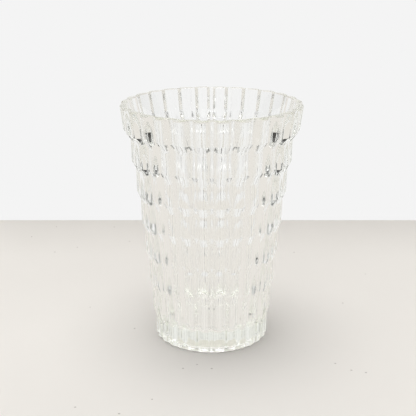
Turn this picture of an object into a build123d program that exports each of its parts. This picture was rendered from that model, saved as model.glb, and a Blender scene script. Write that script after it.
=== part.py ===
from build123d import *
import math
import os

# A heavy tapered glass vase, pressed in one piece.  The outside is a stack of seven ribbed
# tiers on a ribbed foot.  Every rib ends below in a rounded nose of its own, a cone about
# the rib, that dies out on the rib of the narrower tier beneath.  The inside is one smooth bowl.
# Millimetres, +Z up.  The origin is the centre of the resting face.

# Flutes: rounded ribs side by side, with a sharp groove between two neighbours.
FLUTES = 28
RIB_RADIUS = 11.0  # roundness of a rib, the same on every tier

# Heights
TIERS = 7
TIER_HEIGHT = 26.0
FOOT_HEIGHT = 18.0
NOSE_HEIGHT = 7.4  # height of the nose at the lower end of a rib, along its crest

# Crest radii
FOOT_RADIUS = 47.8
LOWEST_STEP = 2.2  # how far the lowest tier stands out over the foot
TOP_TIER_RADIUS = 70.4
FLARE = 0.28  # share of the widening that grows with the square of the height
TIER_DRAFT = 0.5  # how much wider a tier is at its top than above its noses
LIP_FLARE = 4.8  # the same for the top tier, whose top is the rim

# Bowl
WALL = 4.2  # glass behind the grooves at the lower and upper end of the bowl's straight side
RIM_WALL = 3.5  # glass behind the grooves at the rim
BASE_THICKNESS = 15.0
BOWL_FLOOR_CORNER = 10.0
RIM_SLOPE = 10.0  # degrees that the top of the rim falls towards the bowl

# Foot
FOOT_CHAMFER = 1.0
RESTING_RING = 10.8  # width of the flat ring that the vase stands on
RECESS_DEPTH = 1.6  # hollow under the base, inside the resting ring

HEIGHT = FOOT_HEIGHT + TIERS * TIER_HEIGHT
HALF_PITCH = math.pi / FLUTES  # angle from a crest to the next groove
LOWEST_TIER_RADIUS = FOOT_RADIUS + LOWEST_STEP
RECESS_RADIUS = FOOT_RADIUS - FOOT_CHAMFER - RESTING_RING
OVERSHOOT = 1.0  # how far a tool reaches past what it trims


def tier_floor(number):
    """Height of the lower end of a tier, counted from 0 at the foot."""
    return FOOT_HEIGHT + number * TIER_HEIGHT


def tier_radius(number):
    """Crest radius of a tier just above its noses: a widening that grows with height."""
    share = number / (TIERS - 1)
    widening = (1 - FLARE) * share + FLARE * share**2
    return LOWEST_TIER_RADIUS + (TOP_TIER_RADIUS - LOWEST_TIER_RADIUS) * widening


def tier_top_radius(number):
    """Crest radius at the upper end of a tier."""
    if number == TIERS - 1:
        return tier_radius(number) + LIP_FLARE
    return tier_radius(number) + TIER_DRAFT


def top_radius_below(number):
    """Crest radius at the upper end of the piece that a tier stands on."""
    if number == 0:
        return FOOT_RADIUS
    return tier_top_radius(number - 1)


def groove_radius(crest_radius):
    """Radius at which two neighbouring ribs of this crest radius meet."""
    axis = crest_radius - RIB_RADIUS
    across = axis * math.sin(HALF_PITCH)
    return axis * math.cos(HALF_PITCH) + math.sqrt(RIB_RADIUS**2 - across**2)


RIM_RADIUS = tier_top_radius(TIERS - 1)


def turned(points):
    """Solid of revolution about the vertical axis, from its outline in radius and height."""
    outline = make_face(Polyline([(radius, 0, height) for radius, height in points], close=True))
    return revolve(outline, axis=Axis.Z)


def rib(lower_radius, lower_height, upper_radius, upper_height, nose_angle):
    """One round rib on +X, leaning from one crest radius to the other, with a nose below.

    It is turned about its own leaning axis: a cone up to the lower height, a cylinder above.
    """
    lean = math.atan2(upper_radius - lower_radius, upper_height - lower_height)
    nose = NOSE_HEIGHT / math.cos(lean) + OVERSHOOT
    nose_radius = RIB_RADIUS - nose * math.tan(max(nose_angle - lean, 0))
    length = (upper_height - lower_height + NOSE_HEIGHT) / math.cos(lean)
    bar = turned([(0, -nose), (nose_radius, -nose), (RIB_RADIUS, 0), (RIB_RADIUS, length), (0, length)])
    foot_x = lower_radius - RIB_RADIUS * math.cos(lean)
    foot_z = lower_height + RIB_RADIUS * math.sin(lean)
    return Pos(foot_x, 0, foot_z) * Rot(Y=math.degrees(lean)) * Rot(Z=180) * bar


def ringed(core, bar):
    """A core with a rib repeated all round it, a groove on each of the four axes."""
    return core + [Rot(Z=360 * (number + 0.5) / FLUTES) * bar for number in range(FLUTES)]


def tier(number):
    """One tier: a ring of ribs about a core; the ribs' upper ends stay inside the next tier."""
    floor = tier_floor(number)
    ceiling = floor + TIER_HEIGHT
    crest = tier_radius(number)
    top = tier_top_radius(number)
    nose_angle = math.atan2(crest - top_radius_below(number), NOSE_HEIGHT)
    bar = rib(crest, floor + NOSE_HEIGHT, top, ceiling, nose_angle)
    core = turned([(0, floor), (crest - RIB_RADIUS, floor), (top - RIB_RADIUS, ceiling), (0, ceiling)])
    return ringed(core, bar)


def foot():
    """Ribbed foot, with its lower edge taken off by a small cone.

    It is as high as its ribs, whose upper ends stay inside the lowest tier.
    """
    edge = FOOT_RADIUS + OVERSHOOT
    axes = FOOT_RADIUS - RIB_RADIUS
    top = FOOT_HEIGHT + NOSE_HEIGHT
    trim = turned([
        (0, 0),
        (FOOT_RADIUS - FOOT_CHAMFER, 0),
        (edge, FOOT_CHAMFER + OVERSHOOT),
        (edge, top),
        (0, top),
    ])
    bar = rib(FOOT_RADIUS, 0, FOOT_RADIUS, FOOT_HEIGHT, 0)
    core = turned([(0, 0), (axes, 0), (axes, FOOT_HEIGHT), (0, FOOT_HEIGHT)])
    return ringed(core, bar) & trim


def bowl():
    """The space inside: floor, rounded corner, straight side, flaring mouth, sloped rim top."""
    lower_radius = groove_radius(tier_top_radius(0)) - WALL
    bend_radius = groove_radius(top_radius_below(TIERS - 1)) - WALL
    side_height = (TIERS - 2) * TIER_HEIGHT
    slant = (bend_radius - lower_radius) / side_height
    floor_radius = lower_radius - slant * (tier_floor(1) - BASE_THICKNESS)
    mouth_radius = groove_radius(RIM_RADIUS) - RIM_WALL
    outer_radius = RIM_RADIUS + TIER_HEIGHT
    slope = math.tan(math.radians(RIM_SLOPE))
    side = FilletPolyline(
        (0, 0, BASE_THICKNESS),
        (floor_radius, 0, BASE_THICKNESS),
        (bend_radius, 0, tier_floor(TIERS - 1)),
        (mouth_radius, 0, HEIGHT - (RIM_RADIUS - mouth_radius) * slope),
        (outer_radius, 0, HEIGHT + TIER_HEIGHT * slope),
        radius=[BOWL_FLOOR_CORNER, 0, 0],  # only the corner of the floor is rounded
    )
    top = HEIGHT + TIER_HEIGHT
    lid = Polyline(side @ 1, (outer_radius, 0, top), (0, 0, top), side @ 0)
    return revolve(make_face([*side.edges(), *lid.edges()]), axis=Axis.Z)


def recess():
    """Shallow hollow under the base, which leaves a flat ring to stand on."""
    return turned([
        (0, -OVERSHOOT),
        (RECESS_RADIUS + OVERSHOOT, -OVERSHOOT),
        (RECESS_RADIUS - RECESS_DEPTH, RECESS_DEPTH),
        (0, RECESS_DEPTH),
    ])


def vase():
    """The glass: foot and tiers in one, with the bowl and the recess taken out."""
    body = foot()
    for number in range(TIERS):
        body = body + tier(number)
    return body - bowl() - recess()


os.makedirs("parts", exist_ok=True)
body = vase()
export_step(body, "parts/vase_body.step")
print("vase_body", round(body.volume), body.bounding_box().size)
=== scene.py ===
import math

import bpy
import numpy as np
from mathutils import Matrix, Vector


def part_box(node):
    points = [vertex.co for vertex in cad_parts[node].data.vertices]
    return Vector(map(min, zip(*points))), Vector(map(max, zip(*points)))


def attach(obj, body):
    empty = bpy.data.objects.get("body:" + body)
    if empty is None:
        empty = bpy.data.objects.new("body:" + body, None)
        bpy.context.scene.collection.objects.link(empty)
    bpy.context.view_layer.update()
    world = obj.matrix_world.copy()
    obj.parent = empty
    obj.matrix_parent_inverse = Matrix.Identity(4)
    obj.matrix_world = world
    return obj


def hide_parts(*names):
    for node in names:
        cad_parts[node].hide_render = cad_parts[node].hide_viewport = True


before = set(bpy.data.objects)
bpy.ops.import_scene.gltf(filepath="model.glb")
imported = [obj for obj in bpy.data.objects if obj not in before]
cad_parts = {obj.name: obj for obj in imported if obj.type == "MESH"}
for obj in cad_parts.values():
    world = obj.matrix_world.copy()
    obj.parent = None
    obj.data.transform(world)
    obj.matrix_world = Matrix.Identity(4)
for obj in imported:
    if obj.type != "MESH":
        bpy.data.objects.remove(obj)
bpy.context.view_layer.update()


# ---- The camera ----------------------------------------------------------------------------
# A long lens three quarters of a metre in front of the vase, looking down on it, so that the far
# inside of the mouth shows over the near rim.
downward_tilt = 17.4  # degrees below level
camera_data = bpy.data.cameras.new("camera")
camera_data.sensor_width = 36.0
camera_data.lens = 81.5
camera = bpy.data.objects.new("camera", camera_data)
camera.location = (-0.003, -0.75, 0.3456)
camera.rotation_euler = (math.radians(90.0 - downward_tilt), 0.0, 0.0)
bpy.context.collection.objects.link(camera)
bpy.context.scene.camera = camera


# ---- The vase ------------------------------------------------------------------------------
# Clear glass, pressed in one piece in an iron mould and fire polished, so that every edge is a
# little rounded.  The surface is one grid: its rows run round the axis, and its columns run
# from the middle of the base, up the ribbed outside, over the rim and down inside the bowl.
FLUTES = 28
TIERS = 7
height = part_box("vase_body")[1][2]
groove_depth = 0.055  # share of the radius
groove_form = 2.2  # 1 is a sine wave; more gives broader ribs and tighter grooves
foot_height = 0.018
tier_height = 0.02575  # of all but the top tier, which takes what is left up to the rim
nose_height = 0.007
nose_undercut = 0.0015  # how much deeper the grooves are at the tips of the noses
foot_radius = 0.0474
foot_groove_depth = 0.0023
foot_edge_radius = 0.0449  # of the flat ring that the vase stands on
foot_edge_height = 0.0012
lowest_tier_radius = 0.0496
second_tier_radius = 0.0656  # of the second tier from the top
top_tier_radius = 0.0716
rim_radius = 0.0744
flare = 0.24  # share of the widening that grows with the square of the height
tier_draft = 0.0005  # how much wider a tier is at its top than above its noses
recess_radius = 0.036
recess_depth = 0.0016
base_thickness = 0.015
bowl_floor_radius = 0.0414
bowl_bend_radius = 0.0596
bowl_bend_depth = 0.0275  # below the rim
mouth_radius = 0.068

# How each corner is rounded: its radius, and in how many steps.
foot_edge = (0.0007, 3)
nose_tip = (0.005, 6)
nose_bend = (0.0016, 5)
rim_edge = (0.002, 6)
bowl_bend = (0.12, 8)
bowl_corner = (0.01, 12)
largest_share = 0.45  # of a side that a rounded corner may take up

seam_turns = (math.radians(93.2), math.radians(-93.6))  # where the halves of the mould met
seam_height = 0.00012
seam_width = 0.00022

columns_per_rib = 20
crowding = 0.6  # 0 spaces the columns evenly; more draws them towards the grooves
seam_columns = 7
seam_reach = 2.0  # widths of the seam that its own columns reach to either side


def vase_turns():
    """Turns of the columns: even turns, each less crowding * sin(ribs * turn) / ribs.

    That brings them closer at the grooves.  A few more columns stand at each seam.
    """
    columns = FLUTES * columns_per_rib
    turns = np.arange(columns) * 2 * math.pi / columns
    turns = turns - crowding * np.sin(turns * FLUTES) / FLUTES
    seam_steps = np.linspace(-seam_reach, seam_reach, seam_columns) * seam_width / foot_radius
    for seam in seam_turns:
        turns = np.concatenate([turns, np.mod(seam + seam_steps, 2 * math.pi)])
    return np.unique(np.round(turns, 6))


def vase_corners(turn):
    """Corners of the profile in each column, from the middle of the base to that of the bowl.

    Each is (radius, height, rounding).  The outside lies at crest - depth * g from the axis.
    g runs from 0 on the crest of a rib to 1 in the groove: it is a power of the squared cosine
    of half the turn times the number of ribs.  A seam stands out by a bell curve.  A tier has
    two corners: where its noses leave the ribs below, and where they end and the ribs go on up.
    Down a nose the crest comes in by the step and the groove gets deeper by the undercut, so it
    meets the ribs below at the share g * (undercut + change of depth) / (step + g * undercut)
    of its height.
    """
    even = np.ones_like(turn)
    groove = (np.cos(turn * FLUTES / 2) ** 2) ** groove_form
    seams = 0 * even
    for seam in seam_turns:
        off = np.mod(turn - seam + math.pi, 2 * math.pi) - math.pi
        seams = seams + seam_height * np.exp(-((off * foot_radius / seam_width) ** 2))

    def ribs(crest):
        return crest - groove_depth * crest * groove + seams

    foot = foot_radius - foot_groove_depth * groove
    corners = [
        (0 * even, recess_depth * even, None),
        ((recess_radius - recess_depth) * even, recess_depth * even, foot_edge),
        (recess_radius * even, 0 * even, foot_edge),
        (foot_edge_radius * even, 0 * even, foot_edge),
        (foot, foot_edge_height * even, foot_edge),
    ]
    below = foot_radius
    for number in range(TIERS):
        floor = foot_height + number * tier_height
        share = number / (TIERS - 2)
        widening = (1 - flare) * share + flare * share**2
        crest = lowest_tier_radius + (second_tier_radius - lowest_tier_radius) * widening
        if number == TIERS - 1:
            crest = top_tier_radius
        step = crest - below
        depth_below = foot_groove_depth if number == 0 else groove_depth * below
        change = groove_depth * crest - depth_below
        rise = groove * (nose_undercut + change) / (step + groove * nose_undercut)
        ribs_below = below - depth_below * groove + seams
        corners.append((ribs_below, floor + nose_height * rise, nose_tip))
        corners.append((ribs(crest), (floor + nose_height) * even, nose_bend))
        below = rim_radius if number == TIERS - 1 else crest + tier_draft

    corners.append((ribs(rim_radius), height * even, rim_edge))
    corners.append((mouth_radius * even, height * even, rim_edge))
    corners.append((bowl_bend_radius * even, (height - bowl_bend_depth) * even, bowl_bend))
    corners.append((bowl_floor_radius * even, base_thickness * even, bowl_corner))
    corners.append((0 * even, base_thickness * even, None))
    return corners


def rounded(corners):
    """The profile with its corners rounded: points and normals, as [row, column, (r, z)].

    Each corner becomes an arc that touches both its sides.  The directions from the arc's
    centre turn evenly from its start to its end: with w the angle between the two and s the
    share of the way, each is (sin((1 - s) * w) * start + sin(s * w) * end) / sin(w).
    """
    points = [np.stack([radius, z], axis=-1) for radius, z, _ in corners]
    rows = [points[0]]
    normals = [np.tile([0.0, -1.0], (len(points[0]), 1))]
    for number in range(1, len(points) - 1):
        here = points[number]
        back = points[number - 1] - here
        ahead = points[number + 1] - here
        back_length = np.linalg.norm(back, axis=-1, keepdims=True)
        ahead_length = np.linalg.norm(ahead, axis=-1, keepdims=True)
        back = back / back_length
        ahead = ahead / ahead_length
        half = np.arccos(np.clip((back * ahead).sum(-1, keepdims=True), -1, 1)) / 2
        rounding, steps = corners[number][2]
        room = largest_share * np.minimum(back_length, ahead_length)
        touch = np.minimum(rounding / np.tan(half), room)
        radius = touch * np.tan(half)
        middle = (back + ahead) / np.linalg.norm(back + ahead, axis=-1, keepdims=True)
        centre = here + middle * radius / np.sin(half)
        start = (here + back * touch - centre) / radius
        end = (here + ahead * touch - centre) / radius
        swing = math.pi - 2 * half
        # Square to the side before the corner, pointing out of the glass.
        outwards = np.stack([-back[:, 1], back[:, 0]], axis=-1)
        side = np.sign((outwards * start).sum(-1, keepdims=True))
        for share in np.linspace(0, 1, steps + 1):
            turned = np.sin((1 - share) * swing) * start + np.sin(share * swing) * end
            turned = turned / np.sin(swing)
            rows.append(centre + radius * turned)
            normals.append(turned * side)
    rows.append(points[-1])
    normals.append(np.tile([0.0, 1.0], (len(points[0]), 1)))
    return np.array(rows), np.array(normals)


def vase_mesh():
    """The grid of the vase as a mesh, with the normals of the exact surface.

    A normal is the cross product of the way round and the way along the profile, where the way
    round is the slope of the parabola through a point and its two neighbours.
    """
    turns = vase_turns()
    profile, facing = rounded(vase_corners(turns))
    rows, columns = profile.shape[:2]
    cos, sin = np.cos(turns), np.sin(turns)
    place = np.stack([profile[..., 0] * cos, profile[..., 0] * sin, profile[..., 1]], axis=-1)
    along = np.stack([-facing[..., 1] * cos, -facing[..., 1] * sin, facing[..., 0]], axis=-1)
    after = np.roll(place, -1, axis=1) - place
    before = place - np.roll(place, 1, axis=1)
    step_after = np.mod(np.roll(turns, -1) - turns, 2 * math.pi)[:, None]
    step_before = np.mod(turns - np.roll(turns, 1), 2 * math.pi)[:, None]
    around = after * step_before**2 + before * step_after**2
    normal = np.cross(around, along)
    length = np.linalg.norm(normal, axis=-1, keepdims=True)
    normal = normal / np.maximum(length, 1e-30)  # the first and last rows are points on the axis
    normal[0] = (0, 0, -1)
    normal[-1] = (0, 0, 1)

    vertices = np.concatenate([place[1:-1].reshape(-1, 3), place[0, :1], place[-1, :1]])
    vertex_normals = np.concatenate([normal[1:-1].reshape(-1, 3), normal[0, :1], normal[-1, :1]])
    grid = np.arange((rows - 2) * columns).reshape(rows - 2, columns)
    beside = np.roll(grid, -1, axis=1)
    quads = np.stack([grid[:-1], beside[:-1], beside[1:], grid[1:]], axis=-1).reshape(-1, 4)
    bottom, top = len(vertices) - 2, len(vertices) - 1
    fans = np.concatenate([
        np.stack([np.full(columns, bottom), beside[0], grid[0]], axis=-1),
        np.stack([grid[-1], beside[-1], np.full(columns, top)], axis=-1),
    ])
    mesh = bpy.data.meshes.new("vase")
    mesh.from_pydata(vertices.tolist(), [], quads.tolist() + fans.tolist())
    mesh.shade_smooth()
    mesh.normals_split_custom_set_from_vertices(vertex_normals.tolist())
    return mesh


class Socket:
    """A shader socket that can be used in Python sums, which add its Math nodes."""

    def __init__(self, tree, output):
        self.tree = tree
        self.output = output

    def node(self, kind, settings=None, **inputs):
        """A new node.  An input is given by its name, or by its number as in _0."""
        node = self.tree.nodes.new(kind)
        for name, value in (settings or {}).items():
            setattr(node, name, value)
        for name, value in inputs.items():
            key = int(name[1:]) if name[0] == "_" else name.replace("_", " ")
            if isinstance(value, Socket):
                self.tree.links.new(value.output, node.inputs[key])
            else:
                node.inputs[key].default_value = value
        return node

    def math(self, operation, other=0.0):
        """A Math node on this and another value."""
        node = self.node("ShaderNodeMath", {"operation": operation}, _0=self, _1=other)
        return Socket(self.tree, node.outputs[0])

    def __add__(self, other):
        return self.math("ADD", other)

    def __mul__(self, other):
        return self.math("MULTIPLY", other)

    __radd__ = __add__
    __rmul__ = __mul__

    def noise(self, scale, detail):
        """Soft noise of this place, between 0 and 1."""
        node = self.node("ShaderNodeTexNoise", Vector=self, Scale=scale, Detail=detail)
        return Socket(self.tree, node.outputs["Fac"])


def pressed_glass():
    """Clear glass with the soft ripple and faint marks that the mould leaves."""
    material = bpy.data.materials.new("pressed_glass")
    material.use_nodes = True
    tree = material.node_tree
    shader = tree.nodes["Principled BSDF"]
    place = Socket(tree, tree.nodes.new("ShaderNodeTexCoord").outputs["Object"])
    ripple = 2.0 * place.noise(scale=42.0, detail=1.0) + 0.1 * place.noise(scale=260.0, detail=3.0)
    bump = place.node("ShaderNodeBump", Height=ripple, Strength=0.12, Distance=0.001)
    shader.inputs["Base Color"].default_value = (0.998, 0.999, 0.996, 1)
    shader.inputs["Roughness"].default_value = 0.0
    shader.inputs["IOR"].default_value = 1.52
    shader.inputs["Transmission Weight"].default_value = 1.0
    tree.links.new(bump.outputs["Normal"], shader.inputs["Normal"])
    body = tree.nodes.new("ShaderNodeVolumeAbsorption")
    body.inputs["Color"].default_value = (0.90, 0.915, 0.855, 1)
    body.inputs["Density"].default_value = 10.0
    tree.links.new(body.outputs["Volume"], tree.nodes["Material Output"].inputs["Volume"])
    return material


vase = bpy.data.objects.new("vase", vase_mesh())
bpy.context.collection.objects.link(vase)
vase.data.materials.append(pressed_glass())
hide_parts("vase_body")
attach(vase, "root")


# ---- The table -----------------------------------------------------------------------------
# A board painted a warm matt off-white, with a few specks of dust.  It lies a hair under the
# foot, so that light gets in there as it does under a real base, which is never quite flat.
table_z = -0.0004
table_reach = 40.0  # far enough on every side that its edges are never seen
table_colour = (0.82, 0.79, 0.745)
mottle_strength = 0.015
dust_colour = (0.16, 0.12, 0.09, 1)
speck_size = 0.08  # radius of a speck, as a share of the cell that it lies in
speck_share = 0.07  # share of the cells that have a speck
speck_strength = 0.45


def plane(name, corners):
    """A flat piece of the surroundings."""
    mesh = bpy.data.meshes.new(name)
    mesh.from_pydata(corners, [], [(0, 1, 2, 3)])
    piece = bpy.data.objects.new(name, mesh)
    bpy.context.collection.objects.link(piece)
    return piece


def paint(name, colour, background):
    """Matt paint with a faint mottle, a fine grain and a few small specks.

    Seen in the glass it has its plain colour, without the shadows on it.  A background has its
    plain colour to the camera too, and is clear from behind.
    """
    material = bpy.data.materials.new(name)
    material.use_nodes = True
    tree = material.node_tree
    shader = tree.nodes["Principled BSDF"]
    place = Socket(tree, tree.nodes.new("ShaderNodeTexCoord").outputs["Object"])
    mottle = place.noise(scale=9.0, detail=3.0)
    darker = (*((1 - mottle_strength) * part for part in colour), 1)
    lighter = (*((1 + mottle_strength) * part for part in colour), 1)
    tint = place.node("ShaderNodeMix", {"data_type": "RGBA"}, Factor=mottle, _6=darker, _7=lighter)
    cell = place.node("ShaderNodeTexVoronoi", Vector=place, Scale=90.0)
    luck = place.node("ShaderNodeSeparateColor", Color=Socket(tree, cell.outputs["Color"]))
    close = Socket(tree, cell.outputs["Distance"]).math("LESS_THAN", speck_size)
    speck = close * Socket(tree, luck.outputs["Red"]).math("GREATER_THAN", 1 - speck_share)
    dusty = place.node("ShaderNodeMix", {"data_type": "RGBA"}, Factor=speck_strength * speck,
                       _6=Socket(tree, tint.outputs[2]), _7=dust_colour)
    grit = place.noise(scale=900.0, detail=2.0)
    grain = place.node("ShaderNodeBump", Height=grit, Strength=0.05, Distance=0.001)
    tree.links.new(dusty.outputs[2], shader.inputs["Base Color"])
    tree.links.new((0.55 + 0.1 * mottle).output, shader.inputs["Roughness"])
    tree.links.new(grain.outputs["Normal"], shader.inputs["Normal"])
    shader.inputs["Specular IOR Level"].default_value = 0.2

    path = tree.nodes.new("ShaderNodeLightPath").outputs
    mirrored, bent = Socket(tree, path["Is Glossy Ray"]), Socket(tree, path["Is Transmission Ray"])
    plain = mirrored.math("MAXIMUM", bent)
    if background:
        plain = plain.math("MAXIMUM", Socket(tree, path["Is Camera Ray"]))
    glow = place.node("ShaderNodeEmission", Color=(*colour, 1), Strength=1.0)
    seen = place.node("ShaderNodeMixShader", _0=plain, _1=Socket(tree, shader.outputs[0]),
                      _2=Socket(tree, glow.outputs[0]))
    if background:
        behind = tree.nodes.new("ShaderNodeNewGeometry").outputs["Backfacing"]
        clear = tree.nodes.new("ShaderNodeBsdfTransparent").outputs[0]
        seen = place.node("ShaderNodeMixShader", _0=Socket(tree, behind),
                          _1=Socket(tree, seen.outputs[0]), _2=Socket(tree, clear))
    tree.links.new(seen.outputs[0], tree.nodes["Material Output"].inputs["Surface"])
    return material


table = plane("table", [(-table_reach, -table_reach, table_z), (table_reach, -table_reach, table_z),
                        (table_reach, table_reach, table_z), (-table_reach, table_reach, table_z)])
table.data.materials.append(paint("table_paint", table_colour, background=False))


# ---- The wall ------------------------------------------------------------------------------
# A narrow panel, painted a plain pale grey, that stands on the table behind the vase.
wall_y = 0.306
wall_side = 0.26
wall_top = 0.33
wall_colour = (0.905, 0.905, 0.905)
wall = plane("wall", [(-wall_side, wall_y, table_z), (wall_side, wall_y, table_z),
                      (wall_side, wall_y, wall_top), (-wall_side, wall_y, wall_top)])
wall.data.materials.append(paint("wall_paint", wall_colour, background=True))


# ---- The light -----------------------------------------------------------------------------
# A pale room as broad soft boxes.  Low down it is dark, but for a pale box on either side of
# the camera, and that draws the edges and grooves of the glass.  Each box is given by its left
# and right bearing, its lower and upper height, all in degrees, and its strength.  Bearing 0
# lies behind the camera and 90 to its right.
soft_boxes = [
    (-30, 30, -2, 15, 0.1),
    (-30, 30, 15, 40, 1.1),
    (-30, 30, 40, 70, 1.0),
    (-75, -30, -2, 15, 0.9),
    (-75, -30, 15, 40, 0.9),
    (-75, -30, 40, 70, 0.6),
    (30, 75, -2, 15, 0.57),
    (30, 75, 15, 40, 0.93),
    (30, 75, 40, 70, 0.4),
    (-120, -75, -2, 15, 0.02),
    (-120, -75, 15, 40, 0.4),
    (-120, -75, 40, 70, 1.4),
    (75, 120, -2, 15, 0.02),
    (75, 120, 15, 40, 0.4),
    (75, 120, 40, 70, 0.25),
    (-180, -120, -2, 15, 0.02),
    (-180, -120, 15, 40, 0.1),
    (-180, -120, 40, 70, 1.5),
    (120, 180, -2, 15, 0.02),
    (120, 180, 15, 40, 0.1),
    (120, 180, 40, 70, 1.2),
    (-180, 180, 70, 90, 3.3),
]
world = bpy.data.worlds.new("room")
bpy.context.scene.world = world
world.use_nodes = True
sky = world.node_tree
direction = sky.nodes.new("ShaderNodeSeparateXYZ")
sky.links.new(sky.nodes.new("ShaderNodeTexCoord").outputs["Generated"], direction.inputs[0])
x, y, z = (Socket(sky, part) for part in direction.outputs)
bearing = x.math("ARCTAN2", -1 * y).math("DEGREES")
rise = z.math("ARCSINE").math("DEGREES")
light = 0 * rise
for left, right, low, high, strength in soft_boxes:
    across = bearing.math("GREATER_THAN", left) * bearing.math("LESS_THAN", right)
    up = rise.math("GREATER_THAN", low) * rise.math("LESS_THAN", high)
    light = light + strength * (across * up)
sky.links.new(light.output, sky.nodes["Background"].inputs["Color"])


# ---- The picture ---------------------------------------------------------------------------
# Light crosses many surfaces inside the ribs, so it may be bent and mirrored often.
scene = bpy.context.scene
scene.view_settings.view_transform = "Standard"
scene.cycles.max_bounces = 64
scene.cycles.transmission_bounces = 64
scene.cycles.glossy_bounces = 32
